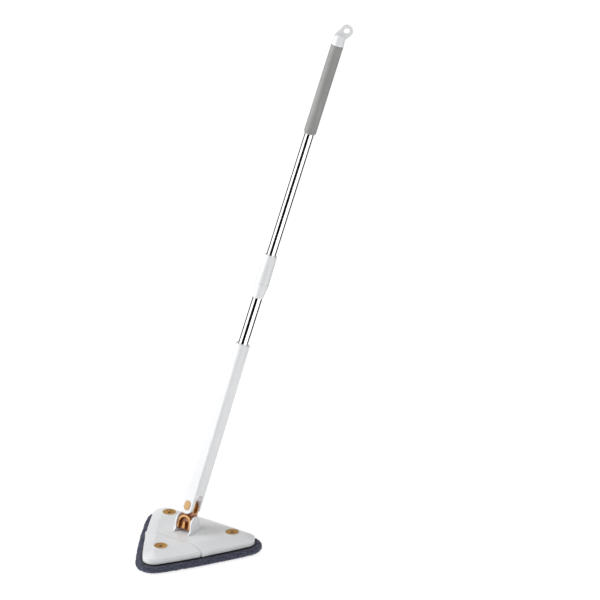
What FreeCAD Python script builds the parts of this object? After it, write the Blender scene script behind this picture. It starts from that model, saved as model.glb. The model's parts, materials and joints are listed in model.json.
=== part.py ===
import FreeCAD, Part
import math
import os
import re
import Sketcher
from FreeCAD import Placement, Rotation, Vector

# Triangular floor mop with a telescopic pole. Millimetres, +Z up. The origin is on the floor under the
# middle of the head. The front corner of the head points along -Y and the pitch pin lies along X.

SIZES = {
    # pad, hook sheet and plate, from the floor up
    "pad_thickness": 15.5, "pad_overhang": 17.5, "pad_round": 6, "hook_thickness": 2.5, "hook_overhang": 0.8,
    "rim_apothem": 92, "rim_height": 13, "crown_height": 11.5,
    "corner_radius": 26, "side_radius": 1500, "shell_wall": 2.4, "cover_thickness": 2.5, "cover_gap": 0.15,
    # fold line of the front flap
    "fold_distance": 52, "fold_height": 21, "fold_gap": 0.7, "fold_half_angle": 24, "fold_land": 6, "fold_clear": 4.6,
    "rod_radius": 1.5, "barrel_radius": 3, "barrel_gap": 0.4, "rod_half_length": 73,
    "barrel_inner": 14, "barrel_outer": 50,
    # cloth grippers
    "gripper_distance": 100, "gripper_radius": 15.2, "gripper_hole": 15.3, "gripper_ring": 17,
    # ears, knuckle and the two pins
    "ear_gap": 37, "ear_thickness": 3.5, "ear_radius": 17, "ear_base": 27, "ear_flare": 13, "pin_above_crown": 20,
    "pin_seat": 2, "pin_radius": 3.95, "pin_bore": 4, "washer_thickness": 0.4,
    "arm_length": 38.6, "lug_offset": 5.8,
    "knuckle_width": 36, "knuckle_depth": 26, "arch_centre": -1.5, "foot_radius": 18.3,
    "lug_width": 24, "lug_depth": 22, "lug_crown": 11, "lug_shoulder": 3,
    "recess_inset": 4.6, "recess_depth": 7.5, "tongue_foot": 8, "tongue_top": 5, "tongue_height": -1,
    "hollow_radius": 7.4, "hollow_depth": 4.5, "hollow_low": 9, "hollow_high": 3.6,
    # lean of the pole at rest
    "pitch_lean": 18, "roll_lean": 8.02,
    # lower shaft, along the pole from the roll pin
    "shaft_width": 28.5, "shaft_depth": 37.5, "shaft_corner": 2, "lobe_drop": 19, "lobe_gap": 23,
    "slot_straight": 16, "shaft_top": 388, "shaft_top_radius": 16.5, "shaft_top_corner": 15.6,
    "core_radius": 10.4, "core_start": 36,
    "cap_width": 16, "cap_height": 22.5, "cap_seat": 18.1, "cap_proud": 2,
    # tubes
    "lower_radius": 11.25, "lower_wall": 0.5, "lower_start": 195, "lower_end": 565,
    "upper_radius": 10.7, "upper_wall": 0.5, "upper_start": 485, "upper_end": 1095,
    # twist lock
    "lock_start": 499.5, "lock_split": 533, "lock_end": 600.8, "lock_radius": 15.9, "lock_foot_radius": 11.9,
    "thread_radius": 13.3, "thread_gap": 0.2, "finger_start": 571, "finger_end": 589,
    # grip and hanger
    "grip_start": 891.4, "grip_end": 1101.8, "grip_radius": 14, "hanger_neck": 21, "hanger_neck_top": 12,
    "hanger_bend": 33, "hanger_turn": 36, "loop_width": 27, "loop_length": 32.5, "loop_thickness": 9,
    "hole_radius": 7, "spigot_radius": 5,
}

doc = FreeCAD.newDocument("FloorMop")
sheet = doc.addObject("Spreadsheet::Sheet", "Sizes")
for row, (alias, number) in enumerate(SIZES.items(), 1):
    sheet.set("A%d" % row, alias)
    sheet.set("B%d" % row, str(number))
    sheet.setAlias("B%d" % row, alias)
doc.recompute()

FUNCTIONS = ("sin", "cos", "tan", "sqrt", "deg")
PARTS = []


# ---- sizes, sketches and features ----

def formula(text):
    """The text as an expression: each size gets the spreadsheet's name in front."""
    return re.sub(r"[a-z][a-z_]+", lambda m: m.group() if m.group() in FUNCTIONS else "Sizes." + m.group(), text)


def value(text):
    return float(sheet.evalExpression(formula(text)))


def bind(thing, name, text):
    thing.setExpression(name, formula(text))


def new_body(label, keep=True):
    body = doc.addObject("PartDesign::Body", label)
    body.Label = label
    if keep:
        PARTS.append(body)
    return body


def new_sketch(body, role, offset="0"):
    """An empty sketch on one of the body's own planes, moved along the plane's normal."""
    sketch = body.newObject("Sketcher::SketchObject", body.Name + "_sketch")
    plane = [item for item in body.Origin.OriginFeatures if item.Role == role + "_Plane"][0]
    sketch.AttachmentSupport = [(plane, "")]
    sketch.MapMode = "FlatFace"
    bind(sketch, "AttachmentOffset.Base.z", offset)
    return sketch


def pin_point(sketch, edge, end, place):
    """Fixes a point of an edge at the place, given as two texts."""
    for kind, text in zip(("DistanceX", "DistanceY"), place):
        number = sketch.addConstraint(Sketcher.Constraint(kind, -1, 1, edge, end, value(text)))
        bind(sketch, "Constraints[%d]" % number, text)


def set_radius(sketch, edge, text):
    number = sketch.addConstraint(Sketcher.Constraint("Radius", edge, value(text)))
    bind(sketch, "Constraints[%d]" % number, text)


def arc_between(start, end, radius, turn):
    """An arc from start to end that bulges to the right when turn is 1 and to the left when it is -1."""
    if turn < 0:
        start, end = end, start
    chord = end - start
    rise = math.sqrt(max(radius ** 2 - (chord.Length / 2) ** 2, 0.0))
    normal = Vector(-chord.y, chord.x, 0).normalize()
    centre = start + chord * 0.5 + normal * rise
    angles = [math.atan2(point.y - centre.y, point.x - centre.x) for point in (start, end)]
    if angles[1] < angles[0]:
        angles[1] += 2 * math.pi
    return Part.ArcOfCircle(Part.Circle(centre, Vector(0, 0, 1), radius), *angles)


def draw(sketch, corners):
    """Closes a loop through corners (x, y); one given as (x, y, radius, turn) starts an arc."""
    places = [Vector(value(corner[0]), value(corner[1]), 0) for corner in corners]
    first = sketch.GeometryCount
    heads = []
    for index, corner in enumerate(corners):
        start = places[index]
        end = places[(index + 1) % len(corners)]
        if len(corner) == 2:
            sketch.addGeometry(Part.LineSegment(start, end))
            heads.append(1)
        else:
            sketch.addGeometry(arc_between(start, end, value(corner[2]), corner[3]))
            heads.append(1 if corner[3] > 0 else 2)
    for index, corner in enumerate(corners):
        following = (index + 1) % len(corners)
        sketch.addConstraint(Sketcher.Constraint(
            "Coincident", first + index, 3 - heads[index], first + following, heads[following]))
        pin_point(sketch, first + index, heads[index], corner[:2])
        if len(corner) == 4:
            chord = places[following] - places[index]
            if chord.Length < 2 * value(corner[2]) - 0.01:
                set_radius(sketch, first + index, corner[2])
            else:
                centre_half_circle(sketch, first + index, chord, corner, corners[following])
    return sketch


def centre_half_circle(sketch, edge, chord, start, end):
    """A half circle has no radius of its own to fix, so its centre is held between its ends."""
    axis = 1 if abs(chord.x) > abs(chord.y) else 0
    middle = "((%s) + (%s)) / 2" % (start[axis], end[axis])
    kind = ("DistanceX", "DistanceY")[axis]
    number = sketch.addConstraint(Sketcher.Constraint(kind, -1, 1, edge, 3, value(middle)))
    bind(sketch, "Constraints[%d]" % number, middle)


def circle(sketch, radius, place=("0", "0")):
    centre = Vector(value(place[0]), value(place[1]), 0)
    edge = sketch.addGeometry(Part.Circle(centre, Vector(0, 0, 1), value(radius)))
    set_radius(sketch, edge, radius)
    pin_point(sketch, edge, 3, place)
    return sketch


def box_sketch(sketch, low, high):
    return draw(sketch, [(low[0], low[1]), (high[0], low[1]), (high[0], high[1]), (low[0], high[1])])


def rounded_box(sketch, half_x, half_y, radius):
    """A rectangle about the origin with its corners rounded."""
    flat_x = "(%s) - (%s)" % (half_x, radius)
    flat_y = "(%s) - (%s)" % (half_y, radius)
    return draw(sketch, [
        ("-(%s)" % flat_x, "-(%s)" % half_y), (flat_x, "-(%s)" % half_y, radius, 1),
        (half_x, "-(%s)" % flat_y), (half_x, flat_y, radius, 1),
        (flat_x, half_y), ("-(%s)" % flat_x, half_y, radius, 1),
        ("-(%s)" % half_x, flat_y), ("-(%s)" % half_x, "-(%s)" % flat_y, radius, 1)])


def finish_feature(body, feature, adds):
    before = body.Shape.Volume if body.Shape and not body.Shape.isNull() else 0.0
    doc.recompute()
    change = body.Shape.Volume - before
    if (change > 0) != adds or abs(change) < 1e-3 or not body.Shape.isValid():
        raise ValueError("%s: %s changed the volume by %g" % (body.Label, feature.Name, change))
    return feature


def pad(body, sketch, length, centred=False, reverse=False):
    feature = body.newObject("PartDesign::Pad", body.Name + "_pad")
    feature.Profile = sketch
    bind(feature, "Length", length)
    feature.Midplane = centred
    feature.Reversed = reverse
    return finish_feature(body, feature, True)


def pocket(body, sketch, length, centred=False, reverse=False):
    feature = body.newObject("PartDesign::Pocket", body.Name + "_pocket")
    feature.Profile = sketch
    bind(feature, "Length", length)
    feature.Midplane = centred
    feature.Reversed = reverse
    return finish_feature(body, feature, False)


def turn(body, sketch, axis="V_Axis", kind="Revolution"):
    feature = body.newObject("PartDesign::" + kind, body.Name + "_turn")
    feature.Profile = sketch
    feature.ReferenceAxis = (sketch, [axis])
    feature.Angle = 360
    return finish_feature(body, feature, kind == "Revolution")


def loft(body, sketches):
    feature = body.newObject("PartDesign::AdditiveLoft", body.Name + "_loft")
    feature.Profile = sketches[0]
    feature.Sections = sketches[1:]
    return finish_feature(body, feature, True)


def ring_pattern(body, feature, count):
    """Repeats a cut round the body's Z axis."""
    pattern = body.newObject("PartDesign::PolarPattern", body.Name + "_pattern")
    pattern.Originals = [feature]
    pattern.Axis = (body.Origin.OriginFeatures[2], [""])
    pattern.Angle = 360
    pattern.Occurrences = count
    body.Tip = pattern
    doc.recompute()


def round_edges(body, radius, chosen, kind="Fillet"):
    """Fillets or chamfers the edges that the test chooses."""
    names = ["Edge%d" % (i + 1) for i, edge in enumerate(body.Shape.Edges) if chosen(edge)]
    base = body.Tip
    feature = body.newObject("PartDesign::" + kind, body.Name + "_" + kind.lower())
    feature.Base = (base, names)
    bind(feature, "Radius" if kind == "Fillet" else "Size", radius)
    return finish_feature(body, feature, False)


def join(kind, label, base, tools, keep=False):
    """A boolean of document objects: Cut, Fuse or Common."""
    tool = tools[0]
    if len(tools) > 1:
        tool = doc.addObject("Part::MultiFuse", label + "_tools")
        tool.Shapes = tools
    result = doc.addObject("Part::" + kind, label)
    result.Label = label
    result.Base = base
    result.Tool = tool
    if keep:
        PARTS.append(result)
    return result


def block(label, low, high):
    """A box between two corners given as texts."""
    box = doc.addObject("Part::Box", label)
    for axis, side, start, end in zip("xyz", ("Length", "Width", "Height"), low, high):
        bind(box, side, "(%s) - (%s)" % (end, start))
        bind(box, "Placement.Base." + axis, start)
    return box


def rod_along_x(label, radius, start, end):
    """A cylinder on the fold line."""
    rod = doc.addObject("Part::Cylinder", label)
    rod.Placement = Placement(Vector(), Rotation(Vector(0, 1, 0), 90))
    bind(rod, "Radius", radius)
    bind(rod, "Height", "(%s) - (%s)" % (end, start))
    bind(rod, "Placement.Base.x", start)
    bind(rod, "Placement.Base.y", "-fold_distance")
    bind(rod, "Placement.Base.z", "fold_height")
    return rod


def group(label, shapes):
    """Identical separate solids in one sub-part."""
    feature = doc.addObject("Part::Feature", label)
    feature.Label = label
    feature.Shape = Part.makeCompound(shapes)
    PARTS.append(feature)
    return feature


# ---- frames ----

PLATE_BASE = "pad_thickness + hook_thickness"
RIM_TOP = PLATE_BASE + " + rim_height"
CROWN = RIM_TOP + " + crown_height"
PIN_HEIGHT = CROWN + " + pin_above_crown"

knuckle_place = Placement(Vector(0, 0, value(PIN_HEIGHT)), Rotation(Vector(1, 0, 0), -value("pitch_lean")))
roll_step = Placement(Vector(0, value("lug_offset"), value("arm_length")), Rotation(Vector(0, 1, 0), value("roll_lean")))
pole_place = knuckle_place.multiply(roll_step)


# ---- head ----

def triangle(sketch, inset):
    """The head's outline moved inwards: three bowed sides joined by three corner arcs."""
    side = "side_radius - (%s)" % inset
    corner = "corner_radius - (%s)" % inset
    reach = value("side_radius - rim_apothem")
    span = value("side_radius - corner_radius")
    # distance of a corner arc's centre from the middle, where both arcs are tangent
    corner_distance = (math.sqrt(4 * span ** 2 - 3 * reach ** 2) - reach) / 2
    first = sketch.GeometryCount
    for step in range(3):
        facing = math.radians(90 + 120 * step)
        tip = facing + math.radians(60)
        side_centre = Vector(-math.cos(facing), -math.sin(facing), 0) * reach
        tip_centre = Vector(math.cos(tip), math.sin(tip), 0) * corner_distance
        next_side = Vector(-math.cos(facing + math.radians(120)), -math.sin(facing + math.radians(120)), 0) * reach
        swing = math.atan2(tip_centre.y - side_centre.y, tip_centre.x - side_centre.x)
        half = (swing - facing + math.pi) % (2 * math.pi) - math.pi
        next_swing = math.atan2(tip_centre.y - next_side.y, tip_centre.x - next_side.x)
        bend = (next_swing - swing) % (2 * math.pi)
        sketch.addGeometry(Part.ArcOfCircle(
            Part.Circle(side_centre, Vector(0, 0, 1), value(side)), facing - half, facing + half))
        sketch.addGeometry(Part.ArcOfCircle(
            Part.Circle(tip_centre, Vector(0, 0, 1), value(corner)), swing, swing + bend))
    for edge in range(6):
        following = first + (edge + 1) % 6
        sketch.addConstraint(Sketcher.Constraint("Tangent", first + edge, 2, following, 1))
    for step, (across, along) in enumerate((("0", "-1"), ("cos(30deg)", "0.5"), ("-cos(30deg)", "0.5"))):
        back = "(side_radius - rim_apothem)"
        set_radius(sketch, first + 2 * step, side)
        set_radius(sketch, first + 2 * step + 1, corner)
        pin_point(sketch, first + 2 * step, 3, (across + " * " + back, along + " * " + back))
    return sketch


def dome(label, wall, sections):
    """The plate's outer or inner form: a straight rim and a low crown lofted above it."""
    body = new_body(label, keep=False)
    rim_height = "rim_height - (%s)" % sections[0][1]
    pad(body, triangle(new_sketch(body, "XY", PLATE_BASE), wall), rim_height)
    levels = [new_sketch(body, "XY", "%s - (%s)" % (RIM_TOP, drop)) for _, drop in sections]
    for sketch, (inset, _) in zip(levels, sections):
        triangle(sketch, inset)
    loft(body, levels)
    return body


def flat_triangle(label, inset, low, thickness, keep=False):
    body = new_body(label, keep)
    pad(body, triangle(new_sketch(body, "XY", low), inset), thickness)
    return body


screw_places = {
    "head": [(52, -30), (-52, -30), (84, 20), (-84, 20), (38, 60), (-38, 60)],
    "tip": [(30, -66), (-30, -66), (0, -124)],
}


def zone(label, clear, front):
    """All the space behind the fold line, or in front of it."""
    if front:
        return block(label, ("-300", "-300", "-1"), ("300", "-fold_distance - (%s)" % clear, "100"))
    return block(label, ("-300", "-fold_distance + (%s)" % clear, "-1"), ("300", "300", "100"))


def barrels(name, radius, spans):
    return [rod_along_x("%s_%d" % (name, i), radius, *span) for i, span in enumerate(spans)]


HEAD_BARRELS = [("-rod_half_length", "-barrel_outer"), ("-barrel_inner", "barrel_inner"),
                ("barrel_outer", "rod_half_length")]
TIP_BARRELS = [("-barrel_outer + fold_gap", "-barrel_inner - fold_gap"),
               ("barrel_inner + fold_gap", "barrel_outer - fold_gap")]


def widened(spans, margin):
    return [("%s - %s" % (start, margin), "%s + %s" % (end, margin)) for start, end in spans]


def upright(label, x, y, radius, low, high):
    pillar = doc.addObject("Part::Cylinder", label)
    bind(pillar, "Radius", radius)
    bind(pillar, "Height", "(%s) - (%s)" % (high, low))
    pillar.Placement = Placement(Vector(x, y, 0), Rotation())
    bind(pillar, "Placement.Base.z", low)
    return pillar


def gripper_spots(front):
    angles = (270,) if front else (30, 150)
    reach = value("gripper_distance")
    return [(reach * math.cos(math.radians(a)), reach * math.sin(math.radians(a))) for a in angles]


def ear(side):
    """One arch-topped ear; side is 1 for +X and -1 for -X."""
    body = new_body("ear_%s" % ("right" if side > 0 else "left"), keep=False)
    root = CROWN + " - 1"
    start = "ear_gap / 2" if side > 0 else "-ear_gap / 2 - ear_thickness"
    sketch = draw(new_sketch(body, "YZ", start), [
        ("-ear_base", root), ("ear_base", root),
        ("ear_base", CROWN + " + 1.2", "ear_flare", -1), ("ear_radius", PIN_HEIGHT + " - 6"),
        ("ear_radius", PIN_HEIGHT, "ear_radius", 1), ("-ear_radius", PIN_HEIGHT),
        ("-ear_radius", PIN_HEIGHT + " - 6", "ear_flare", -1), ("-ear_base", CROWN + " + 1.2")])
    pad(body, sketch, "ear_thickness")
    # the right ear's bore is blind, so its outer face stays plain
    bore = circle(new_sketch(body, "YZ", "ear_gap / 2 + pin_seat"), "pin_radius", ("0", PIN_HEIGHT))
    pocket(body, bore, "ear_gap + 2 * ear_thickness")
    return body


def rim_block(side):
    """The hinge block that stands out of the rim beside the fold line, with a notch under it."""
    body = new_body("rim_block_%s" % ("right" if side > 0 else "left"), keep=False)
    low = PLATE_BASE + " + 0.5"
    inner, outer, past = ("3", "-1", "-2") if side > 0 else ("-3", "1", "2")
    pad(body, box_sketch(new_sketch(body, "XY", low), ("0", inner), ("14", outer)), "rim_height - 1.5")
    notch = box_sketch(new_sketch(body, "XY", low), ("5", "0"), ("10", past))
    pocket(body, notch, "3.5", reverse=True)
    y = -value("fold_distance - 1")
    x = side * (value("rim_apothem") + 0.5 * y + 1.55) / math.cos(math.radians(30))
    body.Placement = Placement(Vector(x, y, 0), Rotation(Vector(0, 0, 1), 90 - 30 * side))
    return body


def plate_shell(label, front, outer, inner):
    """The white moulding behind the fold line, or the flap in front of it."""
    name = "tip" if front else "head"
    solid = join("Common", name + "_solid", outer, [zone(name + "_zone", "fold_gap", front)])
    core = join("Common", name + "_core", inner, [zone(name + "_core_zone", "fold_gap + shell_wall", front)])
    hollow = join("Cut", name + "_hollow", solid, [core])
    own, other = (TIP_BARRELS, HEAD_BARRELS) if front else (HEAD_BARRELS, TIP_BARRELS)
    ends = [("-90", "-barrel_outer + fold_gap"), ("-barrel_inner - fold_gap", "barrel_inner + fold_gap"),
            ("barrel_outer - fold_gap", "90")] if front else widened(other, "fold_gap")
    notched = join("Cut", name + "_notched", hollow,
                   barrels(name + "_notch", "barrel_radius + barrel_gap", ends))
    adds = barrels(name + "_barrel", "barrel_radius", own)
    ring_foot = CROWN + " - 3.2"
    cover_top = PLATE_BASE + " + cover_thickness"
    for i, (x, y) in enumerate(screw_places[name]):
        adds.append(upright("%s_boss_%d" % (name, i), x, y, "4", cover_top, CROWN + " - 2"))
    for i, (x, y) in enumerate(gripper_spots(front)):
        adds.append(upright("%s_ring_%d" % (name, i), x, y, "gripper_ring", ring_foot, CROWN + " + 0.8"))
    if not front:
        adds += [ear(1), ear(-1), rim_block(1), rim_block(-1)]
    joined = join("Fuse", name + "_joined", notched, adds)
    bore = "rod_radius + 0.05" if front else "rod_radius"
    cuts = [rod_along_x(name + "_rod_bore", bore, "-rod_half_length", "rod_half_length")]
    for i, (x, y) in enumerate(gripper_spots(front)):
        cuts.append(upright("%s_gripper_hole_%d" % (name, i), x, y, "gripper_hole", RIM_TOP, "60"))
    for i, (x, y) in enumerate(screw_places[name]):
        cuts.append(upright("%s_pilot_%d" % (name, i), x, y, "1.25", PLATE_BASE, PLATE_BASE + " + 12"))
    return join("Cut", label, joined, cuts, keep=True)


def plate_cover(label, front):
    """The flat plate that closes the shell from below, with countersunk screw holes."""
    name = "tip" if front else "head"
    blank = flat_triangle(name + "_cover_blank", "shell_wall + cover_gap", PLATE_BASE, "cover_thickness")
    kept = join("Common", name + "_cover_kept", blank, [zone(name + "_cover_zone", "fold_clear", front)])
    holes = []
    for i, (x, y) in enumerate(screw_places[name]):
        holes.append(upright("%s_screw_hole_%d" % (name, i), x, y, "1.3", "0", "40"))
        holes.append(upright("%s_head_hole_%d" % (name, i), x, y, "2.7", "0", PLATE_BASE + " + 1.3"))
    return join("Cut", label, kept, holes, keep=True)


def cover_screws(label, places):
    base = value(PLATE_BASE)
    screws = []
    for x, y in places:
        head = Part.makeCylinder(2.6, 1.2, Vector(x, y, base + 0.05))
        shank = Part.makeCylinder(1.25, 11, Vector(x, y, base + 0.1))
        screws.append(head.fuse(shank).removeSplitter())
    return group(label, screws)


def hook_sheet(label, front):
    blank = flat_triangle(label + "_blank", "-hook_overhang", "pad_thickness", "hook_thickness")
    return join("Common", label, blank, [zone(label + "_zone", "fold_clear", front)], keep=True)


def pad_piece(label, front, whole):
    """The pad on one side of the fold line. Its inner end is square at the top and slopes back below it,
    so that the fold can close."""
    wedge = new_body(label + "_wedge", keep=False)
    rise = "(fold_height + 2) * tan(fold_half_angle * 1deg)"
    line = "-fold_distance"
    far = line + " %s 300" % ("+" if front else "-")
    near = line + " %s %s" % ("-" if front else "+", rise)
    land = line + " %s fold_land" % ("-" if front else "+")
    land_foot = "fold_height - fold_land / tan(fold_half_angle * 1deg)"
    draw_order = [(land, "fold_height"), (land, land_foot), (near, "-2"), (far, "-2"), (far, "fold_height")]
    if not front:
        draw_order.reverse()
    pad(wedge, draw(new_sketch(wedge, "YZ"), draw_order), "600", centred=True)
    return join("Cut", label, whole, [wedge], keep=True)


def whole_pad():
    body = flat_triangle("pad_blank", "-pad_overhang", "0", "pad_thickness")
    round_edges(body, "pad_round", lambda edge: abs(edge.BoundBox.ZLength) < 0.01)
    return body


def gripper(label, spot):
    """A dished disc cut into star fingers, with a skirt that clips under the plate."""
    body = new_body(label)
    top = CROWN + " + 0.5"
    turn(body, draw(new_sketch(body, "XZ"), [
        ("0", top + " - 3.2"), ("gripper_radius - 1.4", top + " - 1.6"),
        ("gripper_radius - 1.4", CROWN + " - 7"), ("gripper_radius + 2", CROWN + " - 7"),
        ("gripper_radius + 2", CROWN + " - 5.4"), ("gripper_radius", CROWN + " - 5.4"),
        ("gripper_radius", top), ("0", top + " - 1.6")]))
    pocket(body, circle(new_sketch(body, "XY", "60"), "2.1"), "40")
    slit = box_sketch(new_sketch(body, "XY", "60"), ("1", "-0.55"), ("gripper_radius - 2.6", "0.55"))
    ring_pattern(body, pocket(body, slit, "40"), 8)
    body.Placement = Placement(Vector(spot[0], spot[1], 0), Rotation(Vector(0, 0, 1), 22.5))
    return body


def fold_rod():
    rod = rod_along_x("hinge_rod", "rod_radius", "-rod_half_length + 0.5", "rod_half_length - 0.5")
    PARTS.append(rod)


# ---- universal joint ----

def pitch_pin():
    body = new_body("pitch_pin")
    end = new_sketch(body, "YZ", "ear_gap / 2 + pin_seat")
    pad(body, circle(end, "pin_radius"), "ear_gap + pin_seat + ear_thickness", reverse=True)
    body.Placement = Placement(Vector(0, 0, value(PIN_HEIGHT)), Rotation())


def washers(label, axis, inner_face, place):
    """Two thin friction washers just inside a fork."""
    thickness = value("washer_thickness")
    rings = []
    for side in (1, -1):
        foot = axis * (side * inner_face - (thickness if side > 0 else 0))
        ring = Part.makeCylinder(8, thickness, foot, axis)
        rings.append(ring.cut(Part.makeCylinder(value("pin_bore"), thickness, foot, axis)))
    feature = group(label, rings)
    feature.Placement = place


def knuckle():
    """The swivel block: a hollowed arch between the ears and a rounded lug inside the shaft's fork."""
    body = new_body("knuckle")
    half = "knuckle_width / 2"
    pad(body, draw(new_sketch(body, "XZ"), [
        ("-" + half, "-foot_radius"), (half, "-foot_radius"),
        (half, "arch_centre", half, 1), ("-" + half, "arch_centre")]), "knuckle_depth", centred=True)
    # the underside is round about the pitch pin
    side = "knuckle_depth / 2 + 1"
    shoulder = "-sqrt(foot_radius * foot_radius - (%s) * (%s))" % (side, side)
    pocket(body, draw(new_sketch(body, "YZ"), [
        ("-(%s)" % side, "-foot_radius - 3"), (side, "-foot_radius - 3"),
        (side, shoulder, "foot_radius", -1), ("-(%s)" % side, shoulder)]), "100", centred=True)
    front = "lug_offset - lug_depth / 2"
    back = "lug_offset + lug_depth / 2"
    neck = box_sketch(new_sketch(body, "YZ"), (front, "0"), (back, "arm_length"))
    pad(body, neck, "lug_width", centred=True)
    crown = new_sketch(body, "YZ")
    draw(crown, [
        (front, "arm_length"), (back, "arm_length"),
        (back, "arm_length + lug_shoulder", "lug_crown", 1), (front, "arm_length + lug_shoulder")])
    axis_line = crown.addGeometry(
        Part.LineSegment(Vector(-5, value("arm_length"), 0), Vector(5, value("arm_length"), 0)), True)
    for end, place in ((1, "-5"), (2, "5")):
        pin_point(crown, axis_line, end, (place, "arm_length"))
    turn(body, crown, "Axis0")
    for low, high in (("lug_width / 2", "40"), ("-40", "-lug_width / 2")):
        cheek = box_sketch(new_sketch(body, "XZ"), (low, "arch_centre + 19"), (high, "arm_length + 40"))
        pocket(body, cheek, "80", centred=True)
    # the arched recess is open at the foot, where a tongue rises in its middle
    wide = "knuckle_width / 2 - recess_inset"
    foot = "-foot_radius - 1"
    for front in (True, False):
        face = "knuckle_depth / 2" if front else "-knuckle_depth / 2"
        recess = draw(new_sketch(body, "XZ", face), [
            ("tongue_foot / 2", foot), (wide, foot),
            (wide, "arch_centre", wide, 1), ("-(%s)" % wide, "arch_centre"),
            ("-(%s)" % wide, foot), ("-tongue_foot / 2", foot),
            ("-tongue_top / 2", "tongue_height", "tongue_top / 2", -1), ("tongue_top / 2", "tongue_height")])
        pocket(body, recess, "recess_depth", reverse=not front)
    # a long hollow in each side of the lug
    for side, face in ((1, "lug_width / 2"), (-1, "-lug_width / 2")):
        hollow = draw(new_sketch(body, "YZ", face), [
            ("lug_offset + hollow_radius", "arm_length - hollow_low"),
            ("lug_offset + hollow_radius", "arm_length + hollow_high", "hollow_radius", 1),
            ("lug_offset - hollow_radius", "arm_length + hollow_high"),
            ("lug_offset - hollow_radius", "arm_length - hollow_low", "hollow_radius", 1)])
        pocket(body, hollow, "hollow_depth", reverse=side < 0)
    pocket(body, circle(new_sketch(body, "YZ"), "pin_bore"), "100", centred=True)
    pocket(body, circle(new_sketch(body, "XZ"), "pin_bore", ("0", "arm_length")), "100", centred=True)
    body.Placement = knuckle_place


def roll_pin():
    body = new_body("roll_pin")
    pad(body, circle(new_sketch(body, "XZ"), "pin_radius"), "2 * cap_seat", centred=True)
    body.Placement = pole_place


def oval(sketch, width, height):
    """A pill shape about the pin: two half circles and two straight sides."""
    half = "(%s) / 2" % width
    straight = "(%s) / 2 - %s" % (height, half)
    return draw(sketch, [
        (half, "-(%s)" % straight), (half, straight, half, 1),
        ("-" + half, straight), ("-" + half, "-(%s)" % straight, half, 1)])


def roll_cap(label, front):
    body = new_body(label)
    seat = "cap_seat" if front else "-cap_seat"
    pad(body, oval(new_sketch(body, "XZ", seat), "cap_width", "cap_height"), "cap_proud", reverse=not front)
    outer = value("cap_seat + cap_proud")
    round_edges(body, "1.6", lambda edge: abs(abs(edge.BoundBox.Center.y) - outer) < 0.01)
    body.Placement = pole_place


# ---- lower shaft and tubes ----

def lower_shaft():
    """The white shaft: nearly square at its fork, round at the top, bored for the lower tube."""
    body = new_body("lower_shaft")
    foot = rounded_box(new_sketch(body, "XY", "-lobe_drop - 1"), "shaft_width / 2", "shaft_depth / 2",
                       "shaft_corner")
    mid = rounded_box(new_sketch(body, "XY", "lobe_drop + 16"), "shaft_width / 2 + 0.25",
                      "shaft_depth / 2 - 0.2", "shaft_corner + 1.2")
    neck = rounded_box(new_sketch(body, "XY", "shaft_top - 1.6"), "shaft_top_radius", "shaft_top_radius",
                       "shaft_top_corner")
    loft(body, [foot, mid, neck])
    shoulder = rounded_box(new_sketch(body, "XY", "shaft_top - 1.6"), "shaft_top_radius", "shaft_top_radius",
                           "shaft_top_corner")
    brim = rounded_box(new_sketch(body, "XY", "shaft_top"), "shaft_top_radius - 1.2", "shaft_top_radius - 1.2",
                       "shaft_top_corner - 1.2")
    loft(body, [shoulder, brim])
    half = "shaft_width / 2"
    skirt = "-lobe_drop + shaft_width / 2"
    pocket(body, draw(new_sketch(body, "XZ"), [
        ("-%s - 6" % half, "-lobe_drop - 9"), ("%s + 6" % half, "-lobe_drop - 9"),
        ("%s + 6" % half, skirt), (half, skirt, half, -1), ("-" + half, skirt),
        ("-%s - 6" % half, skirt)]), "100", centred=True)
    gap = "lobe_gap / 2"
    pocket(body, draw(new_sketch(body, "YZ"), [
        ("-" + gap, "-lobe_drop - 9"), (gap, "-lobe_drop - 9"), (gap, "slot_straight", gap, 1),
        ("-" + gap, "slot_straight")]), "100", centred=True)
    pocket(body, circle(new_sketch(body, "XZ"), "pin_radius", ("0", "0")), "100", centred=True)
    for seat, back in (("cap_seat", False), ("-cap_seat", True)):
        pocket(body, oval(new_sketch(body, "XZ", seat), "cap_width + 0.2", "cap_height + 0.2"), "6",
               reverse=not back)
    pocket(body, circle(new_sketch(body, "XY", "shaft_top"), "lower_radius"), "shaft_top - lower_start")
    pocket(body, circle(new_sketch(body, "XY", "lower_start"), "core_radius"), "lower_start - core_start")
    pocket(body, circle(new_sketch(body, "XZ", "0"), "1.5", ("0", "shaft_top - 30")), "40")
    pocket(body, circle(new_sketch(body, "XZ", "-shaft_top_radius"), "3.2", ("0", "shaft_top - 30")), "6")
    body.Placement = pole_place


def tube(label, radius, wall, start, end, hole=None):
    body = new_body(label)
    pad(body, circle(new_sketch(body, "XY", start), radius), "(%s) - (%s)" % (end, start))
    pocket(body, circle(new_sketch(body, "XY", end), "%s - %s" % (radius, wall)),
           "(%s) - (%s)" % (end, start))
    if hole:
        pocket(body, circle(new_sketch(body, "XZ"), "1.5", ("0", hole)), "20")
    body.Placement = pole_place
    return body


def shaft_screw():
    height = value("shaft_top - 30")
    outer = value("shaft_top_radius")
    shank_start = Vector(0, value("lower_radius - lower_wall") + 0.05, height)
    head = Part.makeCylinder(3.1, 1.6, Vector(0, outer, height), Vector(0, 1, 0))
    shank = Part.makeCylinder(1.5, outer - shank_start.y + 1, shank_start, Vector(0, 1, 0))
    group("shaft_screw", [head.fuse(shank).removeSplitter()]).Placement = pole_place


def revolved(label, points):
    body = new_body(label)
    turn(body, draw(new_sketch(body, "XZ"), points))
    body.Placement = pole_place
    return body


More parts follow.
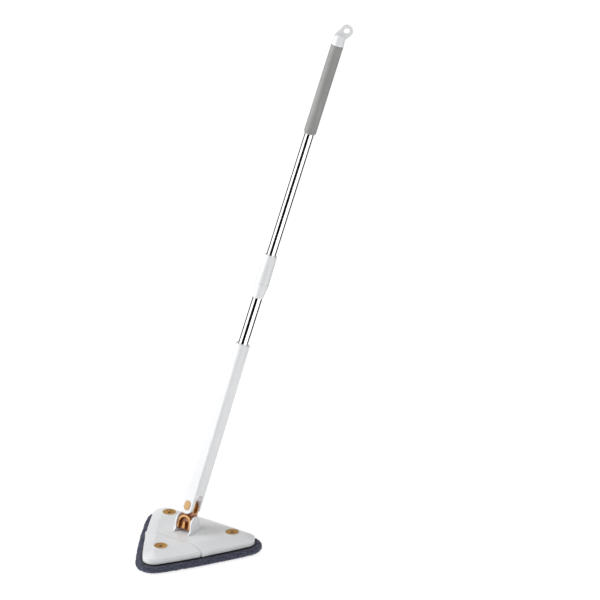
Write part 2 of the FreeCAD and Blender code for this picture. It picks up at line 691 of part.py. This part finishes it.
def lock_sleeve():
    """Fixed on the lower tube: a tapered skirt below, and slit clamping fingers round the upper tube."""
    body = revolved("lock_sleeve", [
        ("lower_radius", "lock_start"), ("lock_foot_radius", "lock_start"),
        ("lock_radius", "lock_split - 2"), ("lock_radius", "lock_split"),
        ("thread_radius", "lock_split"), ("thread_radius", "finger_start + 4"),
        ("thread_radius - 1.7", "finger_end"), ("upper_radius + 0.1", "finger_end"),
        ("upper_radius + 0.1", "lower_end"), ("lower_radius", "lower_end")])
    slit = box_sketch(new_sketch(body, "XY", "finger_end"), ("9", "-0.5"), ("15", "0.5"))
    ring_pattern(body, pocket(body, slit, "finger_end - finger_start"), 4)


def lock_nut():
    bore = "thread_radius + thread_gap"
    body = revolved("lock_nut", [
        (bore, "lock_split + 0.4"), ("lock_radius", "lock_split + 0.4"), ("lock_radius - 1.3", "lock_end - 3"),
        ("lock_radius - 2.2", "lock_end"), ("upper_radius + 0.3", "lock_end"),
        ("upper_radius + 0.3", "lock_end - 4"), (bore, "finger_end - 6")])
    return body


def grip():
    inner = "upper_radius"
    outer = "grip_radius"
    revolved("grip", [
        (inner, "grip_start"), (outer + " - 2", "grip_start"), (outer, "grip_start + 4"),
        (outer, "grip_end - 1"), (outer + " - 0.6", "grip_end"), (inner, "grip_end")])


def tube_bush():
    bore = "upper_radius - upper_wall"
    revolved("tube_bush", [
        (bore + " - 2", "upper_start - 7"), ("upper_radius", "upper_start - 7"), ("upper_radius", "upper_start"),
        (bore, "upper_start"), (bore, "upper_start + 14"), (bore + " - 2", "upper_start + 14")])


def end_plug():
    """Closes the upper tube and carries the hanger on a spigot with a snap head."""
    bore = "upper_radius - upper_wall"
    revolved("end_plug", [
        ("0", "upper_end - 18"), (bore, "upper_end - 18"), (bore, "upper_end"),
        ("upper_radius", "upper_end"), ("upper_radius", "grip_end"), ("spigot_radius", "grip_end"),
        ("spigot_radius", "grip_end + 9"), ("spigot_radius + 0.8", "grip_end + 10"),
        ("spigot_radius - 0.6", "grip_end + 13"), ("0", "grip_end + 13")])


def hanger():
    """A tapered neck and a bent loop with a round hole."""
    body = new_body("hanger")
    base = "grip_end + 0.3"
    neck_top = "grip_end + hanger_neck"
    turn(body, draw(new_sketch(body, "XZ"), [
        ("0", base), ("grip_radius - 0.3", base), ("grip_radius", "grip_end + 1.5"), ("grip_radius", "grip_end + 5"),
        ("hanger_neck_top", neck_top), ("hanger_neck_top - 3", neck_top + " + 3"), ("0", neck_top + " + 3")]))
    lean_x = "sin(hanger_bend * 1deg)"
    lean_z = "cos(hanger_bend * 1deg)"
    half = "loop_width / 2"

    def place(along, across):
        return ("(%s) * %s + (%s) * %s" % (along, lean_x, across, lean_z),
                "%s + (%s) * %s - (%s) * %s" % (neck_top, along, lean_z, across, lean_x))

    shoulder = "loop_length - loop_width / 2"
    # the sketch lies in the plane of the bend, which holds the pole's axis
    loop = draw(new_sketch(body, "XZ"), [
        place("-8", half + " - 2"), place(shoulder, half) + (half, 1),
        place(shoulder, "-(%s)" % half), place("-8", "-(%s) + 2" % half)])
    pad(body, loop, "loop_thickness", centred=True)
    hole = circle(new_sketch(body, "XZ"), "hole_radius", place(shoulder, "0"))
    pocket(body, hole, "60", centred=True)
    pocket(body, circle(new_sketch(body, "XY", base), "spigot_radius + 0.05"), "9.5", reverse=True)
    pocket(body, circle(new_sketch(body, "XY", "grip_end + 9"), "spigot_radius + 1.2"), "5", reverse=True)
    spin = Placement(Vector(), Rotation(Vector(0, 0, 1), value("hanger_turn")))
    body.Placement = pole_place.multiply(spin)


# ---- the assembly ----

def build():
    outer = dome("plate_outer", "0", [("0", "0"), ("6.5", "-3.4"), ("13", "-6.7"), ("19.5", "-9.6"),
                                      ("25", "-crown_height")])
    inner = dome("plate_inner", "shell_wall", [("shell_wall", "2"), ("8.6", "-1.1"), ("14.8", "-4.3"),
                                               ("20.6", "-7.2"), ("25.2", "-crown_height + shell_wall")])
    pad_blank = whole_pad()
    for front, shell, cover, name in ((False, "head_shell", "head_cover", "main"),
                                      (True, "tip_shell", "tip_cover", "tip")):
        plate_shell(shell, front, outer, inner)
        plate_cover(cover, front)
        cover_screws(cover + "_screws", screw_places["tip" if front else "head"])
        hook_sheet("hook_sheet_" + name, front)
        pad_piece("pad_" + name, front, pad_blank)
    right, left = gripper_spots(False)
    for label, spot in (("gripper_right", right), ("gripper_left", left), ("gripper_tip", gripper_spots(True)[0])):
        gripper(label, spot)
    fold_rod()
    pitch_pin()
    washers("pitch_washers", Vector(1, 0, 0), value("ear_gap / 2"), Placement(Vector(0, 0, value(PIN_HEIGHT)), Rotation()))
    knuckle()
    roll_pin()
    roll_cap("roll_cap_front", True)
    roll_cap("roll_cap_rear", False)
    washers("roll_washers", Vector(0, 1, 0), value("lobe_gap / 2"), pole_place)
    lower_shaft()
    shaft_screw()
    tube("lower_tube", "lower_radius", "lower_wall", "lower_start", "lower_end", hole="shaft_top - 30")
    lock_sleeve()
    lock_nut()
    tube("upper_tube", "upper_radius", "upper_wall", "upper_start", "upper_end")
    tube_bush()
    grip()
    end_plug()
    hanger()


def write_parts():
    doc.recompute()
    failed = [thing.Label for thing in doc.Objects if {"Invalid", "Error"} & set(thing.State)]
    if failed:
        raise ValueError("failed: " + ", ".join(failed))
    os.makedirs("parts", exist_ok=True)
    for thing in PARTS:
        shape = thing.Shape
        if shape.isNull() or not shape.isValid() or not shape.Solids:
            raise ValueError(thing.Label + " has no valid solid")
        shape.exportStep("parts/%s.step" % thing.Label)
        box = shape.BoundBox
        print("%-16s %d solid(s) %9.0f mm3  x %.1f..%.1f y %.1f..%.1f z %.1f..%.1f" % (
            thing.Label, len(shape.Solids), shape.Volume, box.XMin, box.XMax, box.YMin, box.YMax, box.ZMin, box.ZMax))


build()
write_parts()
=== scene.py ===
import bpy
import json
import math
import random
from mathutils import Matrix, Vector, noise
from mathutils.kdtree import KDTree


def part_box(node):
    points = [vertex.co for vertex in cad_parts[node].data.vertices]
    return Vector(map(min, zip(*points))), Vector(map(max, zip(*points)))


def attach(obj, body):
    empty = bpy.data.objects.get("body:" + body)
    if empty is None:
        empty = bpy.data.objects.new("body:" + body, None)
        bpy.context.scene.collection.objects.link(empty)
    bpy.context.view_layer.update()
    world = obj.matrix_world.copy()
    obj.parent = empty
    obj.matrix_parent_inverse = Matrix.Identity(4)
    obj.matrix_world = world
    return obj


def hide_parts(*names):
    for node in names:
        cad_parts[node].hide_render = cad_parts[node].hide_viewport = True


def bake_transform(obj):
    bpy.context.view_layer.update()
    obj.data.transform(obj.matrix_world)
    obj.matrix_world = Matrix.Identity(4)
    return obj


# Triangular floor mop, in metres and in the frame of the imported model: +Z up, the head's front
# corner along -Y.
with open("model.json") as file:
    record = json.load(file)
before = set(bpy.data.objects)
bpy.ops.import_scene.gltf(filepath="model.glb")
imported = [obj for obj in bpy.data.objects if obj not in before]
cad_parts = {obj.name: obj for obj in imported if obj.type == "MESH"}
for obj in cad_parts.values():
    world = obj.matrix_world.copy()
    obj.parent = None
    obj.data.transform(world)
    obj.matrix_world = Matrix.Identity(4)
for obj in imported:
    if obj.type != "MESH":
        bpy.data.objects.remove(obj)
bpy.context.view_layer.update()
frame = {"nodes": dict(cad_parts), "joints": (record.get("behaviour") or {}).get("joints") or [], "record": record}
nodes = frame["nodes"]
joints = {joint["name"]: joint for joint in frame["joints"]}
MM = 0.001
# reach of the ambient-occlusion test that paints shade into hollows
PAINTED_SHADE_REACH = 12 * MM


# ---- materials ----

class Surface:
    """A Principled material whose nodes are added one at a time."""

    def __init__(self, name, **settings):
        self.material = bpy.data.materials.new(name)
        self.material.use_nodes = True
        self.tree = self.material.node_tree
        self.shader = self.tree.nodes["Principled BSDF"]
        for socket, setting in settings.items():
            self.shader.inputs[socket.replace("_", " ")].default_value = setting
        self.place = self.add("ShaderNodeTexCoord").outputs["Object"]
        self.bumps = None

    def add(self, kind, **inputs):
        node = self.tree.nodes.new(kind)
        for name, setting in inputs.items():
            self.feed(node.inputs[name.replace("_", " ")], setting)
        return node

    def feed(self, socket, source):
        if isinstance(source, bpy.types.NodeSocket):
            self.tree.links.new(source, socket)
        else:
            socket.default_value = source

    def grain(self, scale, detail=3.0, stretch=None):
        """Noise in object space; stretch scales it along the three axes."""
        place = self.place
        if stretch:
            place = self.add("ShaderNodeMapping", Vector=place, Scale=stretch).outputs["Vector"]
        return self.add("ShaderNodeTexNoise", Vector=place, Scale=scale, Detail=detail).outputs["Fac"]

    def cells(self, scale):
        return self.add("ShaderNodeTexVoronoi", Vector=self.place, Scale=scale).outputs["Distance"]

    def ramp(self, factor, stops):
        node = self.add("ShaderNodeValToRGB", Fac=factor)
        elements = node.color_ramp.elements
        while len(elements) < len(stops):
            elements.new(0.5)
        for element, (position, colour) in zip(elements, stops):
            element.position = position
            element.color = (*colour, 1.0)
        return node.outputs["Color"]

    def colour(self, factor, stops):
        self.feed(self.shader.inputs["Base Color"], self.ramp(factor, stops))
        return self

    def roughness(self, factor, low, high):
        node = self.add("ShaderNodeMapRange", Value=factor)
        node.inputs["To Min"].default_value = low
        node.inputs["To Max"].default_value = high
        self.feed(self.shader.inputs["Roughness"], node.outputs["Result"])
        return self

    def bump(self, height, strength, distance):
        node = self.add("ShaderNodeBump", Height=height)
        node.inputs["Strength"].default_value = strength
        node.inputs["Distance"].default_value = distance
        if self.bumps:
            self.tree.links.new(self.bumps, node.inputs["Normal"])
        self.bumps = node.outputs["Normal"]
        self.feed(self.shader.inputs["Normal"], self.bumps)
        return self

    def paint_hollow_shade(self, hollow_shade_colour):
        """Painted shade: mixes the base colour towards the shade colour where ambient occlusion finds the surface
        shut in.
        """
        hollow = self.add("ShaderNodeAmbientOcclusion")
        hollow.inputs["Distance"].default_value = PAINTED_SHADE_REACH
        open_air = self.add("ShaderNodeMapRange", Value=hollow.outputs["AO"])
        open_air.inputs["From Min"].default_value = 0.45
        open_air.inputs["From Max"].default_value = 0.95
        blend = self.add("ShaderNodeMix")
        blend.data_type = "RGBA"
        shade_socket, plain_socket = [socket for socket in blend.inputs if socket.type == "RGBA"]
        mixed = [socket for socket in blend.outputs if socket.type == "RGBA"][0]
        base = self.shader.inputs["Base Color"]
        self.feed(blend.inputs[0], open_air.outputs["Result"])
        shade_socket.default_value = (*hollow_shade_colour, 1.0)
        self.feed(plain_socket, base.links[0].from_socket)
        self.feed(base, mixed)

    def done(self):
        return self.material


def white_plastic():
    look = Surface("white_moulding", Roughness=0.28, Coat_Weight=0.25, Coat_Roughness=0.15)
    look.colour(look.grain(9.0, 2.0), [(0.35, (0.80, 0.81, 0.82)), (0.65, (0.85, 0.86, 0.87))])
    look.roughness(look.grain(60.0), 0.24, 0.36)
    look.bump(look.grain(1400.0, 2.0), 0.06, 0.0002)
    return look.bump(look.grain(25.0, 1.0), 0.08, 0.0006).done()


def chrome():
    look = Surface("polished_tube", Metallic=1.0, Roughness=0.08)
    look.colour(look.grain(14.0), [(0.3, (0.66, 0.67, 0.69)), (0.7, (0.76, 0.77, 0.78))])
    look.roughness(look.grain(240.0, 4.0, (1.0, 1.0, 0.06)), 0.05, 0.13)
    return look.bump(look.grain(1800.0, 2.0, (1.0, 1.0, 0.05)), 0.03, 0.0001).done()


def steel(name, tone):
    look = Surface(name, Metallic=1.0, Roughness=0.35)
    look.colour(look.grain(90.0), [(0.3, tuple(0.85 * c for c in tone)), (0.7, tone)])
    return look.roughness(look.grain(400.0), 0.28, 0.45).bump(look.grain(2500.0), 0.1, 0.0001).done()


def grey_grip():
    look = Surface("grip_grey", Roughness=0.55)
    look.colour(look.grain(22.0), [(0.35, (0.275, 0.272, 0.268)), (0.65, (0.315, 0.312, 0.307))])
    look.roughness(look.grain(300.0), 0.48, 0.66)
    return look.bump(look.cells(1500.0), 0.22, 0.0003).done()


def amber(name, dark, light, scale=30.0, hollow_shade_colour=None):
    """Tinted plastic; with a shade colour given, hollows are darkened towards it as painted shade."""
    look = Surface(name, Roughness=0.32, Coat_Weight=0.2)
    look.colour(look.grain(scale), [(0.35, dark), (0.65, light)])
    if hollow_shade_colour:
        look.paint_hollow_shade(hollow_shade_colour)
    look.roughness(look.grain(200.0), 0.26, 0.42)
    return look.bump(look.grain(900.0, 2.0), 0.08, 0.0002).done()


def dark_plastic():
    look = Surface("dark_moulding", Roughness=0.5)
    look.colour(look.grain(40.0), [(0.3, (0.020, 0.016, 0.014)), (0.7, (0.035, 0.030, 0.028))])
    return look.roughness(look.grain(300.0), 0.4, 0.6).bump(look.grain(1200.0), 0.1, 0.0002).done()


# Near-black hook layer under the plate: partly the real hook tape, partly painted shade for the dark line between
# plate and pad.
def hook_tape():
    look = Surface("hook_tape", Roughness=0.85)
    look.colour(look.cells(900.0), [(0.1, (0.004, 0.004, 0.006)), (0.6, (0.020, 0.020, 0.024))])
    return look.bump(look.cells(900.0), 0.9, 0.0006).done()


def pile(name, shade=1.0):
    """Slate-violet microfibre: tufts differ a little in tone and have a soft sheen."""
    look = Surface(name, Roughness=0.95, Sheen_Weight=0.5, Sheen_Roughness=0.5)
    look.shader.inputs["Specular IOR Level"].default_value = 0.15
    tones = [(0.030, 0.034, 0.062), (0.085, 0.095, 0.158), (0.200, 0.215, 0.320)]
    stops = [(0.36 + 0.14 * i, tuple(shade * c for c in tone)) for i, tone in enumerate(tones)]
    look.colour(look.grain(330.0, 2.0), stops)
    return look.bump(look.grain(900.0, 4.0), 0.8, 0.0012).done()


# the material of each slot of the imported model; the pad's own slot is dressed further down
FINISHES = {
    "white_plastic": white_plastic(),
    "pole_chrome": chrome(),
    "screw_steel": steel("zinc_screw", (0.55, 0.55, 0.56)),
    "pin_steel": steel("ground_pin", (0.62, 0.62, 0.63)),
    "gold_plastic": amber("gold_moulding", (0.42, 0.20, 0.03), (0.62, 0.34, 0.08)),
    "cap_gold": amber("cap_moulding", (0.56, 0.32, 0.12), (0.64, 0.39, 0.16), 18.0),
    # the knuckle's recesses are darkened towards dark red: painted shade
    "orange_plastic": amber("knuckle_moulding", (0.62, 0.27, 0.06), (0.72, 0.37, 0.11),
                            hollow_shade_colour=(0.20, 0.035, 0.004)),
    "grip_grey": grey_grip(),
    "dark_plastic": dark_plastic(),
    "hook_tape": hook_tape(),
}
for part in frame["record"]["subparts"]:
    finish = FINISHES.get(part["material_slot"])
    if finish:
        node = nodes[part["node"]]
        node.data.materials.clear()
        node.data.materials.append(finish)


# ---- the head's outline ----

pad_low = Vector(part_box("pad_tip")[0])
pad_high = Vector(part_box("pad_main")[1])
PAD_CORNER = 43 * MM


def arcs():
    """The pad's outline as six arcs (centre, radius, first angle, last angle), from its own box."""
    back = pad_high.y
    tip = -pad_low.y
    reach = tip - PAD_CORNER
    slack = back - PAD_CORNER
    offset = (reach ** 2 - slack ** 2) / (2 * slack - reach)
    result = []
    for step in range(3):
        facing = math.radians(90 + 120 * step)
        corner = facing + math.radians(60)
        side_centre = Vector((-math.cos(facing), -math.sin(facing))) * offset
        corner_centre = Vector((math.cos(corner), math.sin(corner))) * reach
        swing = corner_centre - side_centre
        half = math.atan2(swing.y, swing.x) - facing
        half = (half + math.pi) % (2 * math.pi) - math.pi
        result.append((side_centre, offset + back, facing - half, facing + half))
        result.append((corner_centre, PAD_CORNER, facing + half, corner + math.radians(60) - half))
    return result


def outline(step):
    """Points and outward directions round the pad's outline, about a step apart."""
    points = []
    for centre, radius, first, last in arcs():
        count = max(6, round(radius * (last - first) / step))
        for i in range(count):
            angle = first + (last - first) * i / count
            out = Vector((math.cos(angle), math.sin(angle)))
            points.append((centre + out * radius, out))
    return points


def grow(name, points, faces, look, smooth=True):
    mesh = bpy.data.meshes.new(name)
    mesh.from_pydata([tuple(p) for p in points], [], faces)
    mesh.validate()
    piece = bpy.data.objects.new(name, mesh)
    bpy.context.scene.collection.objects.link(piece)
    mesh.materials.append(look)
    if smooth:
        mesh.polygons.foreach_set("use_smooth", [True] * len(mesh.polygons))
    return piece


# ---- the microfibre pad ----

PAD_TOP = pad_high.z
PILE = 2.4 * MM  # length of a tuft
EDGE_STEPS = 14
EDGE_DEPTH = 10 * MM  # how far in the edge rolls
EDGE_MIDDLE = 0.59  # height of the edge's outermost point, as a share of the pad's
EDGE_ROUND = 0.65  # below 1, the edge is squarer than an ellipse across
EDGE_RISE = 0.7  # and the same upwards
FIELD_EDGE = 18 * MM  # inset at which the flat field begins
FIELD_MIDDLE = 60 * MM  # inset of the innermost ring of points
FIELD_SINK = 0.8 * MM  # how far the field lies under the hook sheet's face
CREASE = 1.9 * MM  # the field is pressed down near the plate's edge, between the next two insets
CREASE_END = 30 * MM
CREASE_START = 14 * MM
COVERED = 17.2 * MM  # inset of the plate's edge, which hides what is further in
HELD_FROM = 13 * MM  # inset from which the cloth is held, fully after HELD_FADE
HELD_FADE = 4 * MM
SWELL = 1.2 * MM  # furthest the cloth may move
LAST_FRAME = 20
BARE_FROM = COVERED - 2.5 * MM  # no tufts further in, except on the underside
SHORT_FROM = 9 * MM  # shorter tufts further in, where the plate comes close
SPARSE_FROM = 24 * MM  # fewer tufts further in, in the middle of the underside
EDGE_SPACING = 1.9 * MM
FIELD_SPACING = 3.2 * MM
TUFT_WIDTH = 0.75 * MM
TUFT_ROOT = 0.4 * MM  # part of a tuft sunk in the core
TUFT_LEAST = 0.6 * MM
TUFT_LEAN = 0.45
TUFT_BEND = 0.35
CLUMPS = 190  # scale of the noise that makes patches of longer and shorter tufts
FLOOR_GAP = 0.25 * MM


def edge_profile():
    """The pad's rolled edge from its top round to the underside: (inset, height)."""
    middle = PAD_TOP * EDGE_MIDDLE
    half = middle - PILE
    profile = []
    for i in range(EDGE_STEPS + 1):
        angle = math.pi / 2 - math.pi * i / EDGE_STEPS
        across = abs(math.cos(angle)) ** EDGE_ROUND
        rise = math.copysign(abs(math.sin(angle)) ** EDGE_RISE, math.sin(angle))
        profile.append((EDGE_DEPTH - (EDGE_DEPTH - PILE) * across, middle + half * rise))
    return profile


def pad_shell():
    """The pad's foam and backing under the pile: a rolled edge round a flat field."""
    ring = outline(4 * MM)
    seat = PAD_TOP - FIELD_SINK
    rows = [(FIELD_MIDDLE, seat), (CREASE_END, seat)]
    rows += [(FIELD_EDGE, seat - CREASE), (CREASE_START, seat - CREASE)]
    rows += edge_profile()
    rows += [(inset, PILE) for inset in (FIELD_EDGE, 32 * MM, FIELD_MIDDLE)]
    points = []
    for inset, height in rows:
        for place, out in ring:
            if inset < PAD_CORNER:
                flat = place - out * inset
            else:
                flat = place * (1 - inset / (pad_high.y + 20 * MM))
            points.append(Vector((flat.x, flat.y, height)))
    count = len(ring)
    faces = []
    for row in range(len(rows) - 1):
        for i in range(count):
            j = (i + 1) % count
            faces.append((row * count + i, (row + 1) * count + i,
                          (row + 1) * count + j, row * count + j))
    for row, flip in ((0, False), (len(rows) - 1, True)):
        centre = len(points)
        points.append(Vector((0, 0, rows[row][1])))
        for i in range(count):
            j = (i + 1) % count
            face = (row * count + i, row * count + j, centre)
            faces.append(face[::-1] if flip else face)
    return grow("pad_core", points, faces, pile("pile_ground", 0.6))


EDGE_PLACES = outline(3 * MM)
finder = KDTree(len(EDGE_PLACES))
for number, (place, out) in enumerate(EDGE_PLACES):
    finder.insert((place.x, place.y, 0), number)
finder.balance()


def inset_of(point):
    """How far inside the pad's outline a point lies."""
    _, nearest, _ = finder.find((point.x, point.y, 0))
    place, out = EDGE_PLACES[nearest]
    return (place.x - point.x) * out.x + (place.y - point.y) * out.y


def bake(piece):
    """Replaces the piece's mesh by the result of its modifiers."""
    graph = bpy.context.evaluated_depsgraph_get()
    graph.update()
    mesh = bpy.data.meshes.new_from_object(piece.evaluated_get(graph))
    piece.modifiers.clear()
    piece.data = mesh
    mesh.polygons.foreach_set("use_smooth", [True] * len(mesh.polygons))


def puff_up(piece):
    """Cloth simulation: the edge swells under pressure, the field under the plate is held."""
    remesh = piece.modifiers.new("remesh", "REMESH")
    remesh.mode = "VOXEL"
    remesh.voxel_size = 4 * MM
    bake(piece)
    before = [v.co.copy() for v in piece.data.vertices]
    held = piece.vertex_groups.new(name="held")
    for index, point in enumerate(before):
        hold = min(1.0, max(0.0, (inset_of(point) - HELD_FROM) / HELD_FADE))
        held.add([index], hold, "REPLACE")
    cloth = piece.modifiers.new("cloth", "CLOTH")
    cloth.settings.quality = 8
    cloth.settings.mass = 0.25
    cloth.settings.tension_stiffness = 12
    cloth.settings.compression_stiffness = 12
    cloth.settings.shear_stiffness = 6
    cloth.settings.bending_stiffness = 0.6
    cloth.settings.use_pressure = True
    cloth.settings.uniform_pressure_force = 4
    cloth.settings.vertex_group_mass = "held"
    cloth.settings.effector_weights.gravity = 0
    cloth.point_cache.frame_start = 1
    cloth.point_cache.frame_end = LAST_FRAME
    for frame_number in range(1, LAST_FRAME + 1):
        bpy.context.scene.frame_set(frame_number)
    bake(piece)
    bpy.context.scene.frame_set(1)
    for vertex, start in zip(piece.data.vertices, before):
        move = vertex.co - start
        if move.length > SWELL:
            move *= SWELL / move.length
        vertex.co = start + move
        vertex.co.z = max(vertex.co.z, PILE * 0.8)
    piece.vertex_groups.clear()
    smooth = piece.modifiers.new("smooth", "SUBSURF")
    smooth.levels = 1
    bake(piece)


def tuft(points, faces, root, direction, length, dice):
    """One tapered fibre bundle: three points at the root, three at the middle and a bent tip."""
    side = direction.orthogonal().normalized()
    other = direction.cross(side)
    turn = dice.random() * math.tau
    first = len(points)
    for level, width in ((root, TUFT_WIDTH), (root + direction * length * 0.6, TUFT_WIDTH * 0.8)):
        for i in range(3):
            angle = turn + i * math.tau / 3
            points.append(level + (side * math.cos(angle) + other * math.sin(angle)) * width)
    bend = side * dice.uniform(-TUFT_BEND, TUFT_BEND) + other * dice.uniform(-TUFT_BEND, TUFT_BEND)
    points.append(root + (direction + bend).normalized() * length)
    for i in range(3):
        j = (i + 1) % 3
        faces.append((first + i, first + j, first + 3 + j, first + 3 + i))
        faces.append((first + 3 + i, first + 3 + j, first + 6))


def pad_pile(core):
    """Tufts on the swollen edge and the underside, grown from the core's own faces."""
    dice = random.Random(7)
    points, faces = [], []
    for polygon in core.data.polygons:
        centre = polygon.center
        inset = inset_of(centre)
        below = polygon.normal.z < -0.8
        if inset > BARE_FROM and not below:
            continue
        spacing = FIELD_SPACING if inset > SPARSE_FROM else EDGE_SPACING
        corners = [core.data.vertices[i].co for i in polygon.vertices]
        wanted = polygon.area / spacing ** 2
        for _ in range(int(wanted + dice.random())):
            spot = (dice.random(), dice.random())
            near = corners[0].lerp(corners[1], spot[0])
            far = corners[-1].lerp(corners[2], spot[0])
            root = near.lerp(far, spot[1])
            wild = Vector((dice.uniform(-1, 1), dice.uniform(-1, 1), dice.uniform(-1, 0.6))) * TUFT_LEAN
            way = (polygon.normal + wild).normalized()
            length = PILE * dice.uniform(0.7, 1.15) * (1 + 0.7 * noise.noise(root * CLUMPS))
            if way.z < -0.1:
                length = min(length, (root.z - FLOOR_GAP) / -way.z)
            if inset > SHORT_FROM and not below:
                length *= 0.6
            length = max(length, TUFT_LEAST) + TUFT_ROOT
            tuft(points, faces, root - way * TUFT_ROOT, way, length, dice)
    return grow("pad_pile", points, faces, pile("pile_tufts"), smooth=False)


def dress_pad():
    """The pad is one piece across the fold."""
    core = pad_shell()
    puff_up(core)
    tufts = pad_pile(core)
    for piece in (core, tufts):
        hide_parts("pad_main", "pad_tip")
        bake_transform(piece)


dress_pad()


# ---- painted shade: a dark disc sunk in the middle of each cloth gripper ----

SHADE_DISC_RADIUS = 2.8 * MM
SHADE_DISC_DEPTHS = (1.1 * MM, 2.0 * MM)  # of its top and underside, below the gripper's top


# a dark disc under the gripper's top, as painted shade in its middle
def gripper_shade_disc(gripper, body):
    low, high = (Vector(corner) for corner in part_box(gripper))
    middle = (low + high) / 2
    count = 24
    points = [Vector((middle.x, middle.y, high.z - depth)) for depth in SHADE_DISC_DEPTHS]
    for depth in SHADE_DISC_DEPTHS:
        for i in range(count):
            angle = math.tau * i / count
            points.append(Vector((middle.x + SHADE_DISC_RADIUS * math.cos(angle),
                                  middle.y + SHADE_DISC_RADIUS * math.sin(angle), high.z - depth)))
    faces = []
    for i in range(count):
        j = (i + 1) % count
        faces.append((0, 2 + i, 2 + j))
        faces.append((1, 2 + count + j, 2 + count + i))
        faces.append((2 + i, 2 + count + i, 2 + count + j, 2 + j))
    shade_piece = grow("shade_disc_" + gripper, points, faces, FINISHES["dark_plastic"], smooth=False)
    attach(shade_piece, body)


gripper_shade_disc("gripper_left", "head")
gripper_shade_disc("gripper_right", "head")
gripper_shade_disc("gripper_tip", "tip_flap")


# ---- floor, light and camera ----

AZIMUTH = math.radians(36)
ELEVATION = math.radians(25)
DISTANCE = 40.0
SENSOR = 36.0
PICTURE_HEIGHT = 1.3333  # metres across the picture at LOOK_AT
FLOOR_HALF = 30.0
CARD_DISTANCE = 0.8  # from the pole
CARD_HALF_LENGTH = 1.5
LOOK_AT = Vector((0.0800, 0.3156, 0.5092))
LIGHT_AT = Vector((0.1, 0.15, 0.5))
RIGHT = Vector((math.cos(AZIMUTH), math.sin(AZIMUTH), 0))
TOWARDS_CAMERA = Vector((math.sin(AZIMUTH) * math.cos(ELEVATION),
                         -math.cos(AZIMUTH) * math.cos(ELEVATION), math.sin(ELEVATION)))


SQUARE = ((-1, -1), (1, -1), (1, 1), (-1, 1))


def aim(thing, target):
    thing.rotation_euler = (target - thing.location).to_track_quat("-Z", "Y").to_euler()


def set_camera():
    camera = bpy.data.objects.new("camera", bpy.data.cameras.new("camera"))
    bpy.context.scene.collection.objects.link(camera)
    camera.location = LOOK_AT + TOWARDS_CAMERA * DISTANCE
    camera.data.sensor_width = SENSOR
    camera.data.lens = SENSOR * DISTANCE / PICTURE_HEIGHT
    camera.data.clip_end = 120.0
    aim(camera, LOOK_AT)
    bpy.context.scene.camera = camera


def floor():
    look = Surface("pale_floor", Roughness=0.8, Emission_Color=(1, 1, 1, 1), Emission_Strength=0.8)
    look.colour(look.grain(3.0), [(0.4, (0.36, 0.36, 0.36)), (0.6, (0.38, 0.38, 0.38))])
    corners = [(x * FLOOR_HALF, y * FLOOR_HALF, 0) for x, y in SQUARE]
    piece = grow("floor", corners, [(0, 1, 2, 3)], look.done(), smooth=False)


def softbox(name, place, size, power):
    light = bpy.data.lights.new(name, "AREA")
    light.energy = power
    light.size = size
    thing = bpy.data.objects.new(name, light)
    bpy.context.scene.collection.objects.link(thing)
    thing.location = place
    aim(thing, LIGHT_AT)


def card(name, turn, half, tone, glow=0.0):
    """A strip along the pole, seen only in reflections; turn and half are angles about the pole."""
    along = Vector(joints["lock_turn"]["axis"])
    if along.z < 0:
        along.negate()
    middle = Vector(joints["lock_turn"]["pos_m"])
    mirrored = TOWARDS_CAMERA - 2 * TOWARDS_CAMERA.dot(along) * along
    way = Matrix.Rotation(math.radians(turn), 3, along) @ mirrored
    across = along.cross(way).normalized() * math.tan(math.radians(half)) * CARD_DISTANCE
    centre = middle + way * CARD_DISTANCE
    corners = [centre + across * i + along * j * CARD_HALF_LENGTH for i, j in SQUARE]
    look = Surface(name, Roughness=0.9, Emission_Color=(1, 1, 1, 1), Emission_Strength=glow)
    look.shader.inputs["Specular IOR Level"].default_value = 0.0
    look.colour(look.grain(2.0), [(0.4, (tone,) * 3), (0.6, (tone * 1.2,) * 3)])
    strip = grow(name, corners, [(0, 1, 2, 3)], look.done(), smooth=False)
    for ray in ("camera", "diffuse", "shadow", "transmission"):
        setattr(strip, "visible_" + ray, False)


def light_scene():
    world = bpy.data.worlds.new("studio")
    bpy.context.scene.world = world
    world.use_nodes = True
    background = world.node_tree.nodes["Background"]
    background.inputs["Color"].default_value = (1.0, 1.0, 1.0, 1.0)
    background.inputs["Strength"].default_value = 0.46
    softbox("key", LIGHT_AT - RIGHT * 3.1 + Vector((0, 0, 0.85)), size=1.8, power=62)
    softbox("top", LIGHT_AT + Vector((0, 0, 3.0)), size=2.5, power=24)
    bpy.context.scene.view_settings.view_transform = "Standard"


set_camera()
floor()
card("dark_card_front", -14, 32, 0.002)
card("white_card_left", -70, 28, 0.9, glow=0.9)
card("white_card_right", 50, 38, 0.9, glow=0.9)
card("dark_card_left", -125, 26, 0.01)
card("dark_card_right", 119, 29, 0.01)
light_scene()
